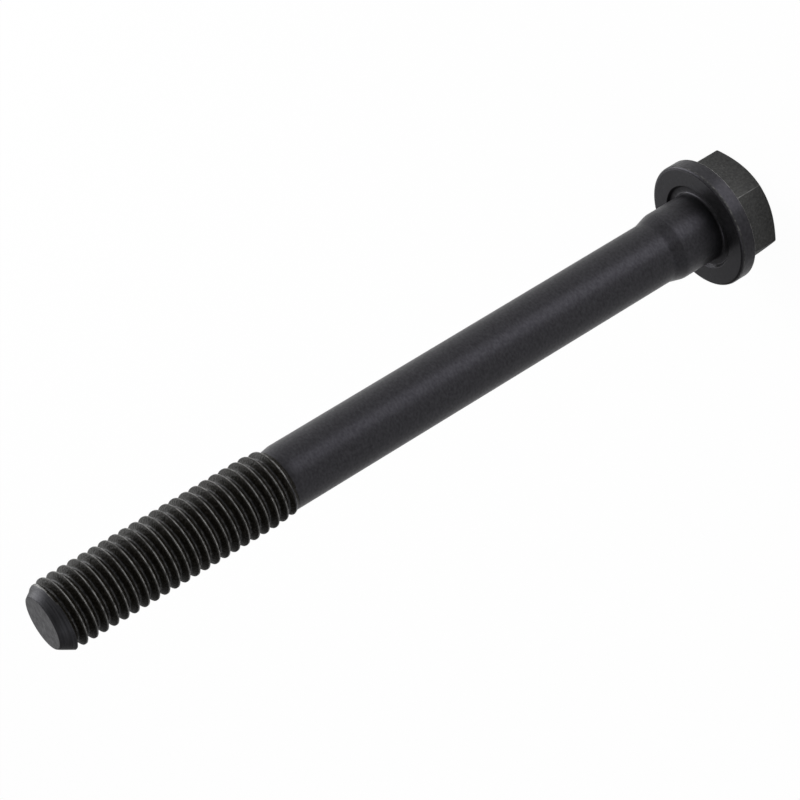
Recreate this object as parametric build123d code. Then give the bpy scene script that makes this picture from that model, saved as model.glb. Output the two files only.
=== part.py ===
from build123d import *
import os
from math import ceil, radians, tan

# Cylinder head bolt: a flanged hexagon head, a locating neck, a reduced shank and a rolled thread.
# It stands on the top of its head. The origin is the centre of that face, and +Z runs to the tip.
# All lengths are in millimetres and all angles in degrees.

# Head
ACROSS_FLATS = 18.75
HEAD_HEIGHT = 9.75
TOP_FACE_DIAMETER = 17.5
TOP_CHAMFER_ANGLE = 30.0
FLANGE_DIAMETER = 23.1
RIM_THICKNESS = 3.0
RIM_CHAMFER = 0.64
FLANGE_SLOPE = 8.0

# Ring-shaped relief in the bearing face, around the neck
RELIEF_WIDTH = 1.6
RELIEF_DEPTH = 0.5
RELIEF_WALL_ANGLE = 35.0
NECK_ROOT_CHAMFER = 0.45

# Neck and shank
LENGTH_UNDER_HEAD = 136.84
NECK_DIAMETER = 12.69
NECK_LENGTH = 7.6
NECK_CONE_ANGLE = 15.5
NECK_EDGE_RADIUS = 5.0
SHANK_DIAMETER = 11.26

# Right-hand thread, 13 turns to the inch. It is rolled on the shank, so its pitch diameter is the shank's.
# The flats of the crest and the root are shares of the pitch.
PITCH = 25.4 / 13
FLANK_ANGLE = 30.0
CREST_SHARE = 1 / 8
ROOT_SHARE = 0.27
THREAD_LENGTH = 45.9
RUN_OUT_LENGTH = 3.9
CREST_ANGLE_AT_TIP = 198.0

# Tip
TIP_FACE_DIAMETER = 9.4
TIP_CONE_ANGLE = 30.0

# Levels along the axis
SEAT_Z = HEAD_HEIGHT
RIM_TOP_Z = SEAT_Z - RIM_THICKNESS
TIP_Z = SEAT_Z + LENGTH_UNDER_HEAD
THREAD_Z = TIP_Z - THREAD_LENGTH

# Radii
RIM_RADIUS = FLANGE_DIAMETER / 2
NECK_RADIUS = NECK_DIAMETER / 2
RELIEF_RADIUS = NECK_RADIUS + RELIEF_WIDTH
SHANK_RADIUS = SHANK_DIAMETER / 2
TIP_RADIUS = TIP_FACE_DIAMETER / 2

# Thread form, above and below the pitch line
HALF_CREST = PITCH * CREST_SHARE / 2
HALF_ROOT = PITCH * ROOT_SHARE / 2
MAJOR_RADIUS = SHANK_RADIUS + (PITCH / 4 - HALF_CREST) / tan(radians(FLANK_ANGLE))
MINOR_RADIUS = SHANK_RADIUS - (PITCH / 4 - HALF_ROOT) / tan(radians(FLANK_ANGLE))


def turned(points):
    """A solid of revolution about Z from a closed outline of (radius, level) points."""
    outline = Wire.make_polygon([Vector(r, 0, z) for r, z in points], close=True)
    return Solid.revolve(Face(outline), 360, Axis.Z)


def hexagon():
    """The wrenching hexagon. A cone turns off its top corners, and its foot lies inside the flange."""
    foot = SEAT_Z - RIM_THICKNESS / 2
    section = RegularPolygon(ACROSS_FLATS / 2, 6, major_radius=False, rotation=30)
    prism = Solid.extrude(section.face(), Vector(0, 0, foot))
    top_radius = TOP_FACE_DIAMETER / 2
    outside = top_radius + ACROSS_FLATS
    cone_foot = (outside - top_radius) * tan(radians(TOP_CHAMFER_ANGLE))
    envelope = turned([(0, 0), (top_radius, 0), (outside, cone_foot), (0, cone_foot)])
    return prism & envelope


def flange_and_shank():
    """Flange, relief, neck and plain shank as one turned blank. It ends in a cone inside the thread."""
    flange_middle = RIM_TOP_Z - RIM_RADIUS * tan(radians(FLANGE_SLOPE))
    relief_floor = SEAT_Z - RELIEF_DEPTH
    relief_foot = RELIEF_RADIUS - RELIEF_DEPTH * tan(radians(RELIEF_WALL_ANGLE))
    neck_end = SEAT_Z + NECK_LENGTH
    cone_end = neck_end + (NECK_RADIUS - SHANK_RADIUS) / tan(radians(NECK_CONE_ANGLE))
    deepening = (SHANK_RADIUS - MINOR_RADIUS) / RUN_OUT_LENGTH
    buried = RUN_OUT_LENGTH + PITCH
    blank = turned(
        [
            (0, flange_middle),
            (RIM_RADIUS, RIM_TOP_Z),
            (RIM_RADIUS, SEAT_Z - RIM_CHAMFER),
            (RIM_RADIUS - RIM_CHAMFER, SEAT_Z),
            (RELIEF_RADIUS, SEAT_Z),
            (relief_foot, relief_floor),
            (NECK_RADIUS + NECK_ROOT_CHAMFER, relief_floor),
            (NECK_RADIUS, relief_floor + NECK_ROOT_CHAMFER),
            (NECK_RADIUS, neck_end),
            (SHANK_RADIUS, cone_end),
            (SHANK_RADIUS, THREAD_Z),
            (SHANK_RADIUS - deepening * buried, THREAD_Z + buried),
            (0, THREAD_Z + buried),
        ]
    )
    neck_edge = blank.edges().filter_by(GeomType.CIRCLE).filter_by_position(Axis.Z, neck_end, neck_end)
    return blank.fillet(NECK_EDGE_RADIUS, neck_edge)


def helix(radius, level):
    """One right-hand turn of the thread's lead, starting over +X."""
    return Edge.make_helix(PITCH, PITCH, radius, center=(0, 0, level))


def screw():
    """A closed screw of full-form thread, longer than the bolt's own thread at both ends.

    Each turn is four strips, ruled between helices: a flank, the crest, the other flank and the root.
    A helical ramp and a flat step close each end.
    """
    form = [
        (MINOR_RADIUS, HALF_ROOT),
        (MAJOR_RADIUS, PITCH / 2 - HALF_CREST),
        (MAJOR_RADIUS, PITCH / 2 + HALF_CREST),
        (MINOR_RADIUS, PITCH - HALF_ROOT),
        (MINOR_RADIUS, PITCH + HALF_ROOT),
    ]
    turns_to_tip = ceil(THREAD_LENGTH / PITCH) + 1
    turns = turns_to_tip + 2
    start = TIP_Z - (turns_to_tip + 0.5) * PITCH

    faces = []
    for turn in range(turns):
        lines = [helix(radius, start + turn * PITCH + rise) for radius, rise in form]
        for lower, upper in zip(lines, lines[1:]):
            faces.append(Face.make_surface_from_curves(lower, upper))
    for level in (start, start + turns * PITCH):
        lead = helix(MINOR_RADIUS, level + HALF_ROOT)
        axis = Edge.make_line((0, 0, level + HALF_ROOT), (0, 0, level + HALF_ROOT + PITCH))
        faces.append(Face.make_surface_from_curves(axis, lead))
        edge_points = [Vector(radius, 0, level + rise) for radius, rise in form]
        faces.append(Face(Wire.make_polygon([axis @ 0, *edge_points, axis @ 1], close=True)))
    return Rotation(0, 0, CREST_ANGLE_AT_TIP) * Solid(Shell(faces))


def thread():
    """The screw cut to length, with a cone at the tip and ridges that die away into the shank."""
    growth = (MAJOR_RADIUS - SHANK_RADIUS) / RUN_OUT_LENGTH
    clear = MAJOR_RADIUS + PITCH / 4
    envelope = turned(
        [
            (0, THREAD_Z - PITCH),
            (SHANK_RADIUS - growth * PITCH, THREAD_Z - PITCH),
            (clear, THREAD_Z + (clear - SHANK_RADIUS) / growth),
            (clear, TIP_Z - (clear - TIP_RADIUS) / tan(radians(TIP_CONE_ANGLE))),
            (TIP_RADIUS, TIP_Z),
            (0, TIP_Z),
        ]
    )
    return screw() & envelope


bolt = flange_and_shank() + hexagon() + thread()
bolt.label = "head_bolt"
os.makedirs("parts", exist_ok=True)
export_step(bolt, "parts/head_bolt.step")
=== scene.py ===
from collections import namedtuple
from math import ceil, cos, pi, radians, sin, tan

import bpy
import numpy as np
from mathutils import Matrix, Vector


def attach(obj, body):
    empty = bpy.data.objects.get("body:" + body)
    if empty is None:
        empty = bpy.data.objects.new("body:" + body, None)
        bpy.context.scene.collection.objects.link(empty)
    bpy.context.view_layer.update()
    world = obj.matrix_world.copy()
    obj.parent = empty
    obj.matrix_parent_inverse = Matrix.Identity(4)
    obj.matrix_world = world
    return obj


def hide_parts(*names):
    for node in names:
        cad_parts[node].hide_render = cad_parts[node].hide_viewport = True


# The looks of a cylinder head bolt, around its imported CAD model.
# Lengths are in millimetres, apart from the studio's, and angles are in degrees. MM turns them into metres.
# The bolt stands on the top of its head, with +Z running to the tip.
MM = 0.001

# Head
SIDES = 6
SIDE_ANGLE = 360 / SIDES
HALF_SIDE_ANGLE = SIDE_ANGLE / 2
ACROSS_FLATS = 18.75
HEAD_HEIGHT = 9.75
TOP_FACE_RADIUS = 8.75
TOP_CHAMFER_ANGLE = 30.0
HEX_CORNER_RADIUS = 0.35
FLANGE_RADIUS = 11.55
RIM_THICKNESS = 3.0
FLANGE_SLOPE = 8.0

# Relief in the bearing face
RELIEF_WIDTH = 1.6
RELIEF_DEPTH = 0.5
RELIEF_WALL_ANGLE = 35.0

# Neck and shank
LENGTH_UNDER_HEAD = 136.84
NECK_RADIUS = 6.345
NECK_LENGTH = 7.6
NECK_CONE_ANGLE = 15.5
SHANK_RADIUS = 5.63

# Rounded edges, from the top of the head to the shank.
# Each has the distance from the sharp edge where its turn starts, and the number of the turn's points.
TOP_FACE_TURN = (0.3, 4)
HEX_TOP_TURN = (0.22, 5)
HEX_FOOT_TURN = (0.45, 6)
RIM_TOP_TURN = (0.12, 4)
SEAT_EDGE_TURN = (0.6, 8)
RELIEF_EDGE_TURN = (0.1, 4)
RELIEF_FOOT_TURN = (0.12, 4)
NECK_FOOT_TURN = (0.42, 7)
NECK_END_TURN = (0.5, 7)
CONE_END_TURN = (0.35, 5)
NO_TURN = (0, 1)

# Thread
PITCH = 25.4 / 13
FLANK_ANGLE = 30.0
MAJOR_RADIUS = 6.265
CREST_SHARE = 0.2
CREST_CORNER_RADIUS = 0.16
CREST_CORNER_POINTS = 3
ROOT_RADIUS = 0.29
ROOT_ARC_ANGLES = (0, 30, 60)
THREAD_LENGTH = 45.9
CREST_ANGLE_AT_TIP = 236.0
# How much of the ridges stands above the shank, and of the grooves below it, at distances into the run-out
RUN_OUT_DISTANCE = (0.0, 0.8, 2.1, 3.8, 4.4)
RIDGE_SHARE = (0.0, 0.55, 0.66, 0.97, 1.0)
GROOVE_SHARE = (0.0, 0.95, 1.0, 1.0, 1.0)

# Tip. The first ridge bulges out of the cone on one side, and the grooves fade away on it.
TIP_FACE_RADIUS = 4.78
TIP_CONE_ANGLE = 30.0
BULGE_HEIGHT = 0.2
BULGE_ANGLE = -8.0
BULGE_HALF_ANGLE = 75.0
BULGE_DISTANCE = (0.95, 1.35)
GROOVE_FADE_DISTANCE = (1.9, 2.5)
# Rings of the tip's rounded edge, as radius past the tip's face and level past the tip's
TIP_EDGE = ((0.015, -0.1), (-0.035, -0.03), (-0.13, 0.0))

# Levels
SEAT_Z = HEAD_HEIGHT
RIM_TOP_Z = SEAT_Z - RIM_THICKNESS
TIP_Z = SEAT_Z + LENGTH_UNDER_HEAD
THREAD_Z = TIP_Z - THREAD_LENGTH

# Mesh. Its columns lie at these angles off each corner of the hexagon, with equal gaps in between.
CORNER_OFFSETS = (0.0, 0.45, 0.9)
GAPS_PER_SIDE = 22
LONGEST_QUAD = 8.0
TOP_FACE_MARGIN = 1.0
# At azimuth 0, the thread's lattice would start at least this share of a pitch before the thread
LATTICE_LEAD = 0.2
# The last plain ring lies this far before the lattice
LATTICE_START_GAP = 0.3
# From this far past the last root, the lattice's rows close up, and they end this far under the tip
CLEAR_OF_ROOTS = 0.03
LATTICE_END_GAP = 0.3
SHARP_ANGLE = 25
NORMAL_WEIGHT = 60

# Limits of the finishes on head, flange and neck, as distances from the edges
EDGE_REACH = 0.2
WORN_RIM_HEIGHT = 0.13
NICKED_RIM_DEPTHS = (0.4, 0.7)
NECK_CONE_MARGINS = (0.02, 0.08)
TURNED_DEPTH = 0.1
LEVEL_TOLERANCE = 0.01
# Painted shade on the neck: its colour darkens towards the flange, between these levels, down to this share
# of it
NECK_PAINTED_SHADE_LEVELS = (10.5, 15.0)
NECK_PAINTED_SHADE_SHARE = 0.35

# The profile's strips with lighter colours, counted from the middle of a root: the crests are worn bright,
# partly as a painted highlight, and the roots have painted glints
CREST_STRIPS = (4, 5, 6)
ROOT_STRIPS = (12, 13)
# A strip that starts this high over the shank is a ridge's, and keeps the shank's finish over this length
RIDGE_HEIGHT = 0.3
RIDGE_TURNED_LENGTH = 0.9
# What lies this close to the cone has the cone's finish, and the bulge's edge is this many strips wide
CONE_TOLERANCE = 0.04
BULGE_EDGE_STRIPS = 2

# Refraction of a finish's coating, where it names no other, and the length of a lathe's marks across the axis
COATING_IOR = 1.33
RING_MARK_LENGTH = 6

# Camera, as an orbit round a point near the bolt's middle
AIM = (0.98, -0.05, 75.04)
CAMERA_DISTANCE = 492.7
CAMERA_AZIMUTH = -3.4
CAMERA_ELEVATION = 23.716
CAMERA_ROLL = -121.14
CAMERA_CLIP_START = 10
FOCAL_LENGTH = 134.33
SENSOR_WIDTH = 36.0

# Studio, in metres
FLOOR_SIZE = 6.0
FLOOR_COLOUR = (0.95, 0.95, 0.95)
FLOOR_ROUGHNESS = 0.9
FLOOR_PLAIN_SHARE = 0.975
FLOOR_PLAIN_SHARE_IN_GLOSS = 0.25
# The world is brightest towards one azimuth. Its strength is given at two cosines of the angle to it.
WORLD_AZIMUTH = 20
WORLD_STRENGTH = ((-0.3, 0.1), (0.6, 0.42))
# Standing lights look at the target. Each has its name, azimuth from +X, height of the middle, distance,
# (width, height) and radiance.
LIGHT_TARGET = (0, 0, 0.075)
STANDING_LIGHTS = (
    ("back_light", 18, 0.36, 0.75, (0.7, 0.6), 5.5),
    ("side_light", -148, 0.4, 0.75, (0.6, 0.5), 2.0),
    ("high_light", 66, 0.45, 0.8, (0.35, 0.4), 1.2),
)
# Light panels that lie on the floor between these distances, and widen by this share of the distance
FLOOR_LIGHT_AZIMUTH = -79
FLOOR_LIGHT_EDGES = (0.016, 0.03, 0.06, 0.12, 0.24, 0.5)
FLOOR_LIGHT_WIDENING = 0.66
FLOOR_LIGHT_RADIANCE = 2.6
FLOOR_LIGHT_HEIGHT = 0.002


# Shape of the blank


def column_angles():
    """Angles of the mesh's columns. They crowd together at the hexagon's corners, one of which is at -Y."""
    last = CORNER_OFFSETS[-1]
    between = np.linspace(last, SIDE_ANGLE - last, GAPS_PER_SIDE + 1)[1:-1]
    before_next = SIDE_ANGLE - np.array(CORNER_OFFSETS[:0:-1])
    side = np.concatenate([CORNER_OFFSETS, between, before_next])
    return np.concatenate([HALF_SIDE_ANGLE + SIDE_ANGLE * k + side for k in range(SIDES)])


def hexagon_radius(angles):
    """Distance from the axis to a hexagon with rounded corners, at each angle."""
    apothem = ACROSS_FLATS / 2
    half_side = radians(HALF_SIDE_ANGLE)
    off_flat = np.radians(np.abs((angles + HALF_SIDE_ANGLE) % SIDE_ANGLE - HALF_SIDE_ANGLE))
    flat_end = np.arctan(tan(half_side) * (1 - HEX_CORNER_RADIUS / apothem))
    arc_centre = (apothem - HEX_CORNER_RADIUS) / cos(half_side)
    off_corner = half_side - off_flat
    reach = np.maximum(HEX_CORNER_RADIUS**2 - (arc_centre * np.sin(off_corner)) ** 2, 0)
    rounded = arc_centre * np.cos(off_corner) + np.sqrt(reach)
    return np.where(off_flat < flat_end, apothem / np.cos(off_flat), rounded)


def blend_corner(before, corner, after, steps):
    """Points of a smooth turn from one leg of a corner to the other."""
    shares = np.linspace(0, 1, steps)
    return [(1 - s) ** 2 * before + 2 * s * (1 - s) * corner + s**2 * after for s in shares]


def unit(leg):
    """The direction of a leg of the outline, at each column."""
    return leg / np.linalg.norm(leg, axis=0)


def rings_along(corners, columns):
    """Rings of an outline. Each corner is (radius, level, setback, steps), and may vary round the axis."""
    places = [np.stack([np.broadcast_to(v, columns) for v in corner[:2]]) for corner in corners]
    rings = [places[0]]
    for k in range(1, len(corners)):
        place = places[k]
        setback, steps = corners[k][2:]
        turn = [place]
        if k < len(corners) - 1:
            before = place + unit(places[k - 1] - place) * setback
            after = place + unit(places[k + 1] - place) * setback
            turn = blend_corner(before, place, after, steps)
        start = rings[-1]
        pieces = ceil(np.linalg.norm(turn[0] - start, axis=0).max() / LONGEST_QUAD)
        rings += [start + (turn[0] - start) * j / pieces for j in range(1, pieces)]
        rings += turn
    return rings


def blank_corners(angles, thread_start):
    """The outline of head, flange, relief, neck and plain shank."""
    hexagon = hexagon_radius(angles)
    hexagon_top = (hexagon - TOP_FACE_RADIUS) * tan(radians(TOP_CHAMFER_ANGLE))
    hexagon_foot = RIM_TOP_Z - (FLANGE_RADIUS - hexagon) * tan(radians(FLANGE_SLOPE))
    relief_radius = NECK_RADIUS + RELIEF_WIDTH
    relief_floor = SEAT_Z - RELIEF_DEPTH
    relief_foot = relief_radius - RELIEF_DEPTH * tan(radians(RELIEF_WALL_ANGLE))
    neck_end = SEAT_Z + NECK_LENGTH
    cone_end = neck_end + (NECK_RADIUS - SHANK_RADIUS) / tan(radians(NECK_CONE_ANGLE))
    return [
        (TOP_FACE_RADIUS - TOP_FACE_MARGIN, 0, *NO_TURN),
        (TOP_FACE_RADIUS, 0, *TOP_FACE_TURN),
        (hexagon, hexagon_top, *HEX_TOP_TURN),
        (hexagon, hexagon_foot, *HEX_FOOT_TURN),
        (FLANGE_RADIUS, RIM_TOP_Z, *RIM_TOP_TURN),
        (FLANGE_RADIUS, SEAT_Z, *SEAT_EDGE_TURN),
        (relief_radius, SEAT_Z, *RELIEF_EDGE_TURN),
        (relief_foot, relief_floor, *RELIEF_FOOT_TURN),
        (NECK_RADIUS, relief_floor, *NECK_FOOT_TURN),
        (NECK_RADIUS, neck_end, *NECK_END_TURN),
        (SHANK_RADIUS, cone_end, *CONE_END_TURN),
        (SHANK_RADIUS, thread_start, *NO_TURN),
    ]


# Shape of thread and tip


def thread_profile():
    """One pitch of the rolled thread, as (rise, radius) points from the middle of a root to the next."""
    half_angle = radians(FLANK_ANGLE)
    half_crest = PITCH * CREST_SHARE / 2
    sharp_root = MAJOR_RADIUS - (PITCH / 2 - half_crest) / tan(half_angle)
    root_centre = sharp_root + ROOT_RADIUS / sin(half_angle)
    root = []
    for angle in ROOT_ARC_ANGLES:
        turn = radians(angle)
        root.append(np.array([ROOT_RADIUS * sin(turn), root_centre - ROOT_RADIUS * cos(turn)]))
    setback = CREST_CORNER_RADIUS * tan(half_angle)
    corner = np.array([PITCH / 2 - half_crest, MAJOR_RADIUS])
    before = corner - setback * np.array([sin(half_angle), cos(half_angle)])
    after = corner + np.array([setback, 0])
    crest = blend_corner(before, corner, after, CREST_CORNER_POINTS)
    flank_middle = (root[-1] + before) / 2
    crest_middle = np.array([PITCH / 2, MAJOR_RADIUS])
    half = root + [flank_middle] + crest + [crest_middle]
    mirrored = [np.array([PITCH - rise, radius]) for rise, radius in half[1:-1][::-1]]
    return np.array(half + mirrored)


def off_bulge(angles):
    """How far each angle is from the middle of the tip's bulge."""
    return np.abs((angles - BULGE_ANGLE + 180) % 360 - 180)


def tip_envelope(angles, level):
    """Largest radius of the tip at each angle and level: a cone, with a bulge on one side."""
    from_tip = TIP_Z - level
    around = np.cos(np.minimum(off_bulge(angles) / BULGE_HALF_ANGLE, 1) * pi / 2) ** 2
    along = np.interp(from_tip, BULGE_DISTANCE, (0, 1))
    cone = TIP_FACE_RADIUS + from_tip * tan(radians(TIP_CONE_ANGLE))
    return cone + BULGE_HEIGHT * around[:, None] * along


Lattice = namedtuple("Lattice", "level radius on_edge on_cone rows_per_turn rows")


def thread_lattice(angles):
    """Points in rows that follow the helix, by column and row.

    Past the last column, row k goes on as row k + rows_per_turn of the first, so the first column is used
    one turn further. Each column has as many faces as rows says.
    """
    profile = thread_profile()
    rows_per_turn = len(profile)
    root_phase = TIP_Z - PITCH * (CREST_ANGLE_AT_TIP / 360 + 0.5)
    start = root_phase - PITCH * ceil((root_phase - THREAD_Z) / PITCH + LATTICE_LEAD)
    root = profile[:, 1].min()
    clear_level = TIP_Z - (root - TIP_FACE_RADIUS) / tan(radians(TIP_CONE_ANGLE)) + CLEAR_OF_ROOTS
    turns = ceil((clear_level - start) / PITCH)
    index = np.arange((turns + 1) * rows_per_turn + 1)
    rise = PITCH * (index // rows_per_turn) + profile[index % rows_per_turn, 0]
    level = start + rise[None, :] + PITCH * angles[:, None] / 360
    height = np.broadcast_to(profile[index % rows_per_turn, 1] - SHANK_RADIUS, level.shape)
    ridge = np.interp(level - THREAD_Z, RUN_OUT_DISTANCE, RIDGE_SHARE)
    groove = np.interp(level - THREAD_Z, RUN_OUT_DISTANCE, GROOVE_SHARE)
    radius = SHANK_RADIUS + height * np.where(height > 0, ridge, groove)

    # The tip's cone cuts the ridges. A point close to each crossing moves onto it.
    above = radius - tip_envelope(angles, level)
    crossing = above[:, :-1] * above[:, 1:] < 0
    on_edge = np.zeros(level.shape, bool)
    for i, k in zip(*np.nonzero(crossing)):
        share = above[i, k] / (above[i, k] - above[i, k + 1])
        nearest = k if share < 0.5 else k + 1
        level[i, nearest] = level[i, k] + share * (level[i, k + 1] - level[i, k])
        on_edge[i, nearest] = True

    # Past the last root only the cone is left, and its rows close up to end under the tip's edge.
    squeeze = (TIP_Z - LATTICE_END_GAP - clear_level) / (level[0, -1] - clear_level)
    level = np.where(level > clear_level, clear_level + (level - clear_level) * squeeze, level)
    envelope = tip_envelope(angles, level)
    cut_share = np.interp(TIP_Z - level, GROOVE_FADE_DISTANCE, (0, 1))
    floor = envelope + (np.minimum(root, envelope) - envelope) * cut_share
    radius = np.clip(radius, floor, envelope)
    on_cone = envelope - radius < CONE_TOLERANCE
    return Lattice(level, radius, on_edge, on_cone, rows_per_turn, turns * rows_per_turn)


# Mesh


class MeshParts:
    """The bolt's points, its faces and the faces' finishes, as they are added."""

    def __init__(self, angles):
        self.angles = angles
        self.columns = len(angles)
        self.cosines = np.cos(np.radians(angles))
        self.sines = np.sin(np.radians(angles))
        self.points = []
        self.faces = []
        self.finishes = []

    def add_rings(self, rings):
        """Add rings of points, given as (radii, levels), and return the number of their first point."""
        first = len(self.points)
        for radii, levels in rings:
            self.points.extend(zip(radii * self.cosines, radii * self.sines, levels))
        return first

    def add_face(self, corners, finish):
        """Add a face between points, given by their numbers."""
        self.faces.append(corners)
        self.finishes.append(finish)

    def add_band(self, lower, finishes):
        """Add the faces between the ring that starts at a point's number and the next ring."""
        upper = lower + self.columns
        for i, finish in enumerate(finishes):
            j = (i + 1) % self.columns
            self.add_face([lower + i, lower + j, upper + j, upper + i], finish)


def blank_finish(low, high, angle, next_angle):
    """Finish of a face of the blank, from the (radius, level) of its two rings and its angles."""
    least_radius = min(low[0], high[0])
    on_rim = least_radius > FLANGE_RADIUS - EDGE_REACH and low[1] > RIM_TOP_Z - EDGE_REACH
    if on_rim and high[1] < RIM_TOP_Z + WORN_RIM_HEIGHT:
        return "worn_and_painted_highlight"
    if on_rim and SEAT_Z - NICKED_RIM_DEPTHS[1] < low[1] < SEAT_Z - NICKED_RIM_DEPTHS[0]:
        return "nicked_and_painted_glints"
    if high[1] > SEAT_Z - LEVEL_TOLERANCE and least_radius > NECK_RADIUS + RELIEF_WIDTH - EDGE_REACH:
        return "seat"
    # The neck's cone gets its own darker colour, which is painted shade
    off_shank, off_neck = NECK_CONE_MARGINS
    if SHANK_RADIUS + off_shank < high[0] and low[0] < NECK_RADIUS - off_neck and low[1] > SEAT_Z:
        return "neck_cone"
    if low[1] > SEAT_Z - TURNED_DEPTH:
        return "turned"
    if high[1] > RIM_TOP_Z - LEVEL_TOLERANCE:
        return "rim"
    middle = (angle + (next_angle - angle) % 360 / 2) % SIDE_ANGLE
    at_corner = abs(middle - HALF_SIDE_ANGLE) < CORNER_OFFSETS[1]
    return "corner" if at_corner and high[0] < FLANGE_RADIUS - EDGE_REACH else "head"


def add_blank(parts, end_level):
    """Add the head, flange, neck and shank, and return the number of the last ring's first point."""
    rings = rings_along(blank_corners(parts.angles, end_level), parts.columns)
    spans = list(zip(parts.angles, np.roll(parts.angles, -1)))
    first = parts.add_rings(rings)
    parts.add_face([first + i for i in range(parts.columns)][::-1], "head")
    for k, (ring, next_ring) in enumerate(zip(rings, rings[1:])):
        low = ring.max(axis=1)
        high = next_ring.max(axis=1)
        finishes = [blank_finish(low, high, angle, next_angle) for angle, next_angle in spans]
        parts.add_band(first + k * parts.columns, finishes)
    return first + (len(rings) - 1) * parts.columns


def thread_finish(lattice, column, row, on_ridge, on_bulge):
    """Finish of the face at a column of the lattice, between a row and the next."""
    if lattice.on_cone[column, row] and lattice.on_cone[column, row + 1]:
        cone_before = lattice.on_cone[column, max(row - BULGE_EDGE_STRIPS, 0)]
        return "worn_and_painted_highlight" if on_bulge and not cone_before else "cone"
    if lattice.level[column, row] < THREAD_Z + (RIDGE_TURNED_LENGTH if on_ridge else 0):
        return "turned"
    strip = row % lattice.rows_per_turn
    # Crest strips are worn bright with a painted highlight, and root strips have painted glints
    if strip in CREST_STRIPS:
        return "worn_and_painted_highlight"
    if strip in ROOT_STRIPS:
        return "nicked_and_painted_glints"
    return "thread"


def add_thread(parts, lattice):
    """Add the thread, and return the numbers of its points by column and row."""
    per_turn = lattice.rows_per_turn
    on_ridge = thread_profile()[:, 1] > SHANK_RADIUS + RIDGE_HEIGHT
    on_bulge = off_bulge(parts.angles) < BULGE_HALF_ANGLE
    number = {}
    for i in range(parts.columns):
        rows = lattice.rows + 1 + (per_turn if i == 0 else 0)
        for k in range(rows):
            number[i, k] = len(parts.points)
            radius = lattice.radius[i, k]
            parts.points.append((radius * parts.cosines[i], radius * parts.sines[i], lattice.level[i, k]))
    edge = {number[key] for key in number if lattice.on_edge[key]}
    for i in range(parts.columns):
        j, shift = (i + 1, 0) if i + 1 < parts.columns else (0, per_turn)
        for k in range(lattice.rows):
            finish = thread_finish(lattice, i, k, on_ridge[k % per_turn], on_bulge[i])
            a, b = number[i, k], number[j, k + shift]
            c, d = number[j, k + 1 + shift], number[i, k + 1]
            if a in edge and c in edge:
                parts.add_face([a, b, c], finish)
                parts.add_face([a, c, d], finish)
            elif b in edge and d in edge:
                parts.add_face([a, b, d], finish)
                parts.add_face([b, c, d], finish)
            else:
                parts.add_face([a, b, c, d], finish)
    return number


def add_run_out(parts, last_ring, number, per_turn):
    """Close the wedge between the last plain ring and the first turn of the thread."""
    last = parts.columns - 1
    for i in range(last):
        parts.add_face([last_ring + i, last_ring + i + 1, number[i + 1, 0], number[i, 0]], "turned")
    step = [number[0, k] for k in range(per_turn + 1)]
    parts.add_face([last_ring + last, last_ring, *step, number[last, 0]], "turned")


def add_tip(parts, number, per_turn, top):
    """Close the wedge between the thread's top row and the tip's edge, and add the edge and the end face."""
    columns = parts.columns
    last = columns - 1
    rings = [(np.full(columns, TIP_FACE_RADIUS + out), np.full(columns, TIP_Z + up)) for out, up in TIP_EDGE]
    tip = parts.add_rings(rings)
    step = [number[0, top + k] for k in range(per_turn, 0, -1)]
    parts.add_face([number[0, top], number[1, top], tip + 1, tip, *step], "cone")
    for i in range(1, last):
        parts.add_face([number[i, top], number[i + 1, top], tip + i + 1, tip + i], "cone")
    parts.add_face([number[last, top], number[0, top + per_turn], tip, tip + last], "cone")
    for k in range(len(TIP_EDGE) - 1):
        parts.add_band(tip + k * columns, ["cone"] * columns)
    last_ring = tip + (len(TIP_EDGE) - 1) * columns
    parts.add_face([last_ring + i for i in range(columns)], "end")


def bolt_parts():
    """The points and faces of the bolt, which is one closed mesh."""
    parts = MeshParts(column_angles())
    lattice = thread_lattice(parts.angles)
    last_ring = add_blank(parts, lattice.level[:, 0].min() - LATTICE_START_GAP)
    number = add_thread(parts, lattice)
    add_run_out(parts, last_ring, number, lattice.rows_per_turn)
    add_tip(parts, number, lattice.rows_per_turn, lattice.rows)
    return parts


# Materials


def link(tree, source, target, socket):
    """Link a node's first output to another node's socket."""
    tree.links.new(source.outputs[0], target.inputs[socket])


def set_inputs(node, **values):
    """Set a node's sockets, which are named with underscores for spaces."""
    for name, value in values.items():
        node.inputs[name.replace("_", " ")].default_value = value


def even(spacing):
    """The same spacing along X, Y and Z."""
    return (spacing, spacing, spacing)


def ringed(spacing):
    """The spacing of a lathe's marks, which are long round the axis and close together along it."""
    return (RING_MARK_LENGTH, RING_MARK_LENGTH, spacing)


def pattern(tree, spacing, detail, low, high):
    """A noise with features of about the given spacing in millimetres: 0 below low and 1 above high."""
    place = tree.nodes.new("ShaderNodeTexCoord")
    mapping = tree.nodes.new("ShaderNodeMapping")
    noise = tree.nodes.new("ShaderNodeTexNoise")
    ramp = tree.nodes.new("ShaderNodeMapRange")
    set_inputs(mapping, Scale=[1 / (s * MM) for s in spacing])
    set_inputs(noise, Scale=1, Detail=detail)
    set_inputs(ramp, From_Min=low, From_Max=high)
    tree.links.new(place.outputs["Object"], mapping.inputs["Vector"])
    link(tree, mapping, noise, "Vector")
    link(tree, noise, ramp, "Value")
    return ramp


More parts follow.
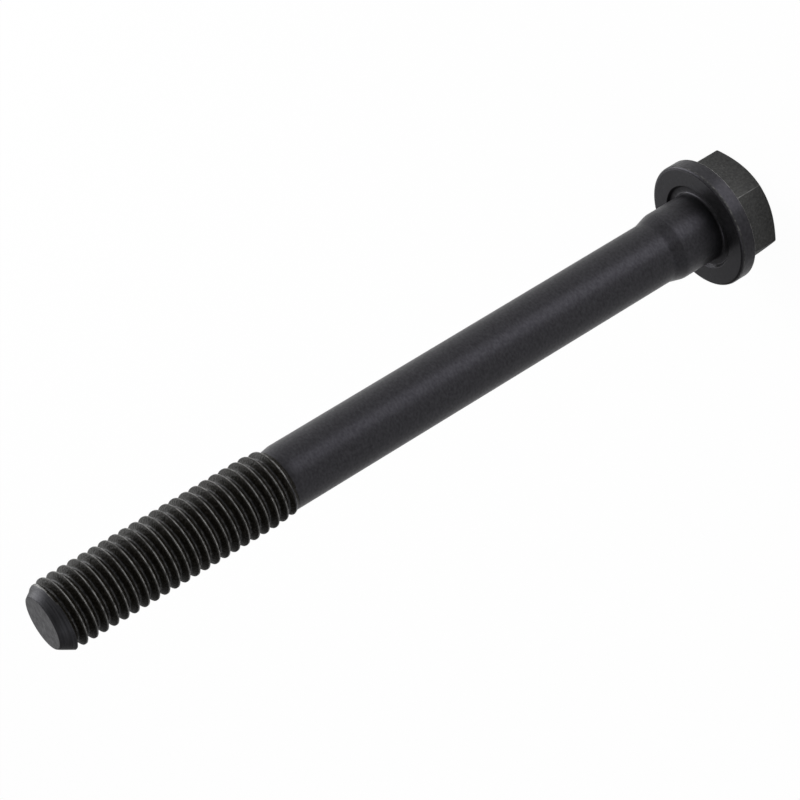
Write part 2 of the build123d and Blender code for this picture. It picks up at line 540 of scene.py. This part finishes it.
def paint_neck_shade(tree, colours):
    """Paint shade on a node's colour, darker towards the flange, and return the node that has the result."""
    low, high = NECK_PAINTED_SHADE_LEVELS
    place = tree.nodes.new("ShaderNodeTexCoord")
    split = tree.nodes.new("ShaderNodeSeparateXYZ")
    share = tree.nodes.new("ShaderNodeMapRange")
    shaded = tree.nodes.new("ShaderNodeVectorMath")
    shaded.operation = "SCALE"
    set_inputs(share, From_Min=low * MM, From_Max=high * MM, To_Min=NECK_PAINTED_SHADE_SHARE)
    tree.links.new(place.outputs["Object"], split.inputs[0])
    tree.links.new(split.outputs["Z"], share.inputs["Value"])
    link(tree, colours, shaded, 0)
    link(tree, share, shaded, "Scale")
    return shaded


def steel(name, dark, light, roughness, spots, relief, ior=COATING_IOR, tint=(1, 1, 1), painted_neck_shade=False):
    """A dark finished steel, seen as a rough coating over the metal.

    Spots of the light colour lie on the dark one, and roughness is given in the dark and in the light.
    Spots are (spacing, detail, low, high), and relief has a height in millimetres before the same four.
    On the neck, painted shade darkens the colours towards the flange.
    """
    material = bpy.data.materials.new(name)
    material.use_nodes = True
    tree = material.node_tree
    shader = tree.nodes["Principled BSDF"]
    set_inputs(shader, IOR=ior, Specular_Tint=(*tint, 1))
    mask = pattern(tree, *spots)
    colours = tree.nodes.new("ShaderNodeValToRGB")
    colours.color_ramp.elements[0].color = (*dark, 1)
    colours.color_ramp.elements[1].color = (*light, 1)
    rough = tree.nodes.new("ShaderNodeMapRange")
    set_inputs(rough, To_Min=roughness[0], To_Max=roughness[1])
    bump = tree.nodes.new("ShaderNodeBump")
    set_inputs(bump, Distance=relief[0] * MM)
    height = pattern(tree, *relief[1:])
    link(tree, mask, colours, "Fac")
    link(tree, mask, rough, "Value")
    link(tree, height, bump, "Height")
    # On the neck, painted shade darkens the colours towards the flange
    link(tree, paint_neck_shade(tree, colours) if painted_neck_shade else colours, shader, "Base Color")
    link(tree, rough, shader, "Roughness")
    link(tree, bump, shader, "Normal")
    return material


def forged_finishes():
    """The head's matte finish, and its corners rubbed by the wrench."""
    head = steel(
        "matte_black_steel",
        dark=(0.031, 0.031, 0.0305),
        light=(0.06, 0.06, 0.0585),
        roughness=(0.62, 0.55),
        spots=(even(0.45), 4, 0.3, 0.7),
        relief=(0.04, even(0.4), 3, 0.2, 0.8),
    )
    corner = steel(
        "rubbed_corner_steel",
        dark=(0.08, 0.08, 0.078),
        light=(0.17, 0.17, 0.166),
        roughness=(0.6, 0.5),
        spots=(even(1.0), 3, 0.3, 0.7),
        relief=(0.02, even(0.4), 3, 0.2, 0.8),
    )
    return {"head": head, "corner": corner}


def turned_finishes():
    """The satin finish of neck, shank and rim, with painted shade on the neck towards the flange, and the
    smoother one of the neck's cone, darker by painted shade.
    """
    satin = {
        "dark": (0.0125, 0.0122, 0.0128),
        "light": (0.029, 0.0285, 0.0305),
        "roughness": (0.4, 0.32),
        "spots": ((0.6, 0.6, 0.4), 6, 0.3, 0.7),
        "relief": (0.008, (0.8, 0.8, 0.3), 3, 0.2, 0.8),
        "ior": 1.3,
        "tint": (0.86, 0.83, 1),
    }
    # Smoother than the satin finish, and darker by painted shade
    smoother_and_painted_shade = {
        **satin,
        "dark": (0.0105, 0.0103, 0.0108),
        "light": (0.025, 0.0245, 0.026),
        "roughness": (0.33, 0.27),
    }
    return {
        # The neck's part of this finish carries painted shade towards the flange
        "turned": steel("satin_black_steel", **satin, painted_neck_shade=True),
        "rim": steel("rim_black_steel", **satin),
        "neck_cone": steel("neck_cone_steel_with_painted_shade", **smoother_and_painted_shade),
    }


def seat_finish():
    """The flange's bearing face."""
    return steel(
        "seat_black_steel",
        dark=(0.005, 0.005, 0.0052),
        light=(0.014, 0.0138, 0.0145),
        roughness=(0.34, 0.27),
        spots=(even(0.8), 5, 0.3, 0.7),
        relief=(0.008, even(0.5), 3, 0.2, 0.8),
        ior=1.52,
        tint=(0.9, 0.88, 1),
    )


def thread_finishes():
    """The thread's oily flanks, its crests worn bright with a painted highlight, and its roots with painted
    glints.
    """
    thread = steel(
        "oiled_black_steel",
        dark=(0.0048, 0.0041, 0.0027),
        light=(0.019, 0.017, 0.0135),
        roughness=(0.36, 0.5),
        spots=(even(0.36), 3, 0.46, 0.74),
        relief=(0.08, even(0.4), 3, 0.2, 0.8),
        ior=1.24,
    )
    # Worn bright steel; on the thread's crests its lighter colour is partly a painted highlight
    worn_and_painted_highlight = steel(
        "worn_steel_with_painted_highlight",
        dark=(0.03, 0.0295, 0.0288),
        light=(0.17, 0.167, 0.163),
        roughness=(0.38, 0.27),
        spots=(even(0.9), 4, 0.35, 0.68),
        relief=(0.03, even(0.5), 3, 0.2, 0.8),
    )
    # Light nicks; in the thread's roots they are painted glints
    nicked_and_painted_glints = steel(
        "nicked_steel_with_painted_glints",
        dark=(0.014, 0.014, 0.015),
        light=(0.1, 0.098, 0.096),
        roughness=(0.5, 0.4),
        spots=(even(0.6), 5, 0.45, 0.8),
        relief=(0.06, even(0.6), 3, 0.2, 0.8),
    )
    return {"thread": thread, "worn_and_painted_highlight": worn_and_painted_highlight, "nicked_and_painted_glints": nicked_and_painted_glints}


def tip_finishes():
    """The tip's turned cone and its sawn end."""
    cone = steel(
        "chamfer_black_steel",
        dark=(0.012, 0.012, 0.0128),
        light=(0.04, 0.04, 0.043),
        roughness=(0.48, 0.4),
        spots=(ringed(0.25), 4, 0.3, 0.7),
        relief=(0.015, even(0.5), 4, 0.2, 0.8),
        ior=1.3,
        tint=(0.88, 0.88, 1),
    )
    end = steel(
        "sawn_end_steel",
        dark=(0.085, 0.085, 0.0885),
        light=(0.145, 0.145, 0.151),
        roughness=(0.65, 0.55),
        spots=(even(1.0), 5, 0.3, 0.7),
        relief=(0.05, even(0.6), 4, 0.2, 0.8),
    )
    return {"cone": cone, "end": end}


def build_bolt():
    """The bolt's visual model, with a finish on each face."""
    parts = bolt_parts()
    mesh = bpy.data.meshes.new("bolt")
    mesh.from_pydata([Vector(p) * MM for p in parts.points], [], parts.faces)
    finishes = {
        **forged_finishes(),
        **turned_finishes(),
        **thread_finishes(),
        **tip_finishes(),
        "seat": seat_finish(),
    }
    names = list(finishes)
    for material in finishes.values():
        mesh.materials.append(material)
    mesh.polygons.foreach_set("material_index", [names.index(finish) for finish in parts.finishes])
    mesh.validate(verbose=True)
    mesh.update()
    bolt = bpy.data.objects.new("bolt_body", mesh)
    bpy.context.scene.collection.objects.link(bolt)
    mesh.shade_smooth()
    mesh.set_sharp_from_angle(angle=radians(SHARP_ANGLE))
    weighted = bolt.modifiers.new("weighted_normals", "WEIGHTED_NORMAL")
    weighted.keep_sharp = True
    weighted.weight = NORMAL_WEIGHT
    return bolt


# Studio


def towards(azimuth):
    """The level direction of an azimuth from +X."""
    return Vector((cos(radians(azimuth)), sin(radians(azimuth)), 0))


def area_light(name, place, turn, width, height, radiance):
    """A rectangular soft light that the camera doesn't see."""
    data = bpy.data.lights.new(name, "AREA")
    data.shape = "RECTANGLE"
    data.size = width
    data.size_y = height
    data.energy = radiance * pi * width * height
    lamp = bpy.data.objects.new(name, data)
    lamp.location = place
    lamp.rotation_euler = turn
    lamp.visible_camera = False
    bpy.context.scene.collection.objects.link(lamp)


def add_standing_lights():
    for name, azimuth, height, distance, size, radiance in STANDING_LIGHTS:
        place = towards(azimuth) * distance + Vector((0, 0, height))
        turn = (Vector(LIGHT_TARGET) - place).to_track_quat("-Z", "Y").to_euler()
        area_light(name, place, turn, *size, radiance)


def add_floor_lights():
    """Panels that look up, one behind the other."""
    turn = (pi, 0, radians(FLOOR_LIGHT_AZIMUTH - 90))
    for k, (near, far) in enumerate(zip(FLOOR_LIGHT_EDGES, FLOOR_LIGHT_EDGES[1:])):
        distance = (near + far) / 2
        place = towards(FLOOR_LIGHT_AZIMUTH) * distance + Vector((0, 0, FLOOR_LIGHT_HEIGHT))
        width = FLOOR_LIGHT_WIDENING * distance
        area_light(f"floor_light_{k}", place, turn, width, far - near, FLOOR_LIGHT_RADIANCE)


def add_world():
    """A dim white world that is brightest towards one side."""
    (low, dim), (high, bright) = WORLD_STRENGTH
    world = bpy.data.worlds.new("studio")
    world.use_nodes = True
    tree = world.node_tree
    background = tree.nodes["Background"]
    direction = tree.nodes.new("ShaderNodeTexCoord")
    along = tree.nodes.new("ShaderNodeVectorMath")
    along.operation = "DOT_PRODUCT"
    along.inputs[1].default_value = towards(WORLD_AZIMUTH)
    strength = tree.nodes.new("ShaderNodeMapRange")
    set_inputs(background, Color=(1, 1, 1, 1))
    set_inputs(strength, From_Min=low, From_Max=high, To_Min=dim, To_Max=bright)
    tree.links.new(direction.outputs["Generated"], along.inputs[0])
    tree.links.new(along.outputs["Value"], strength.inputs["Value"])
    link(tree, strength, background, "Strength")
    bpy.context.scene.world = world


def add_camera():
    azimuth = radians(CAMERA_AZIMUTH)
    elevation = radians(CAMERA_ELEVATION)
    outwards = Vector((sin(azimuth) * cos(elevation), -cos(azimuth) * cos(elevation), sin(elevation)))
    data = bpy.data.cameras.new("camera")
    data.lens = FOCAL_LENGTH
    data.sensor_width = SENSOR_WIDTH
    data.clip_start = CAMERA_CLIP_START * MM
    camera = bpy.data.objects.new("camera", data)
    turn = outwards.to_track_quat("Z", "Y").to_matrix().to_4x4()
    place = Matrix.Translation(Vector(AIM) * MM + outwards * CAMERA_DISTANCE * MM)
    camera.matrix_world = place @ turn @ Matrix.Rotation(radians(CAMERA_ROLL), 4, "Z")
    bpy.context.scene.collection.objects.link(camera)
    bpy.context.scene.camera = camera


def math_node(tree, operation, first, second):
    """The output of a Math node. Its first input is an output, and its second an output or a number."""
    node = tree.nodes.new("ShaderNodeMath")
    node.operation = operation
    tree.links.new(first, node.inputs[0])
    if isinstance(second, float):
        node.inputs[1].default_value = second
    else:
        tree.links.new(second, node.inputs[1])
    return node.outputs[0]


def white_floor():
    """What the camera and reflections see is partly plain white, and the rest takes the shadow."""
    material = bpy.data.materials.new("white_floor")
    material.use_nodes = True
    tree = material.node_tree
    shader = tree.nodes["Principled BSDF"]
    set_inputs(shader, Base_Color=(*FLOOR_COLOUR, 1), Roughness=FLOOR_ROUGHNESS, Specular_IOR_Level=0)
    white = tree.nodes.new("ShaderNodeEmission")
    rays = tree.nodes.new("ShaderNodeLightPath").outputs
    reflected = math_node(tree, "MAXIMUM", rays["Is Glossy Ray"], rays["Is Transmission Ray"])
    reflected_share = math_node(tree, "MULTIPLY", reflected, FLOOR_PLAIN_SHARE_IN_GLOSS)
    seen_share = math_node(tree, "MULTIPLY", rays["Is Camera Ray"], FLOOR_PLAIN_SHARE)
    mix = tree.nodes.new("ShaderNodeMixShader")
    tree.links.new(math_node(tree, "MAXIMUM", seen_share, reflected_share), mix.inputs[0])
    link(tree, shader, mix, 1)
    link(tree, white, mix, 2)
    link(tree, mix, tree.nodes["Material Output"], "Surface")
    return material


def add_floor():
    mesh = bpy.data.meshes.new("floor")
    half = FLOOR_SIZE / 2
    corners = [(-half, -half, 0), (half, -half, 0), (half, half, 0), (-half, half, 0)]
    mesh.from_pydata(corners, [], [(0, 1, 2, 3)])
    mesh.materials.append(white_floor())
    floor = bpy.data.objects.new("floor", mesh)
    bpy.context.scene.collection.objects.link(floor)


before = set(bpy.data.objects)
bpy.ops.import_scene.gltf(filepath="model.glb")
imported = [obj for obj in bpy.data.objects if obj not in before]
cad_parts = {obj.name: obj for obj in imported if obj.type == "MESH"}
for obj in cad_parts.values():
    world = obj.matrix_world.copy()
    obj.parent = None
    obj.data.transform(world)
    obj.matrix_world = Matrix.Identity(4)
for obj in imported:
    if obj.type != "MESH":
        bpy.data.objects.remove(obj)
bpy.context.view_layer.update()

bolt = build_bolt()
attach(bolt, "root")
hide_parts("head_bolt")

add_camera()
bpy.context.view_layer.update()

add_floor()
add_standing_lights()
add_floor_lights()
add_world()
bpy.context.scene.view_settings.view_transform = "Standard"
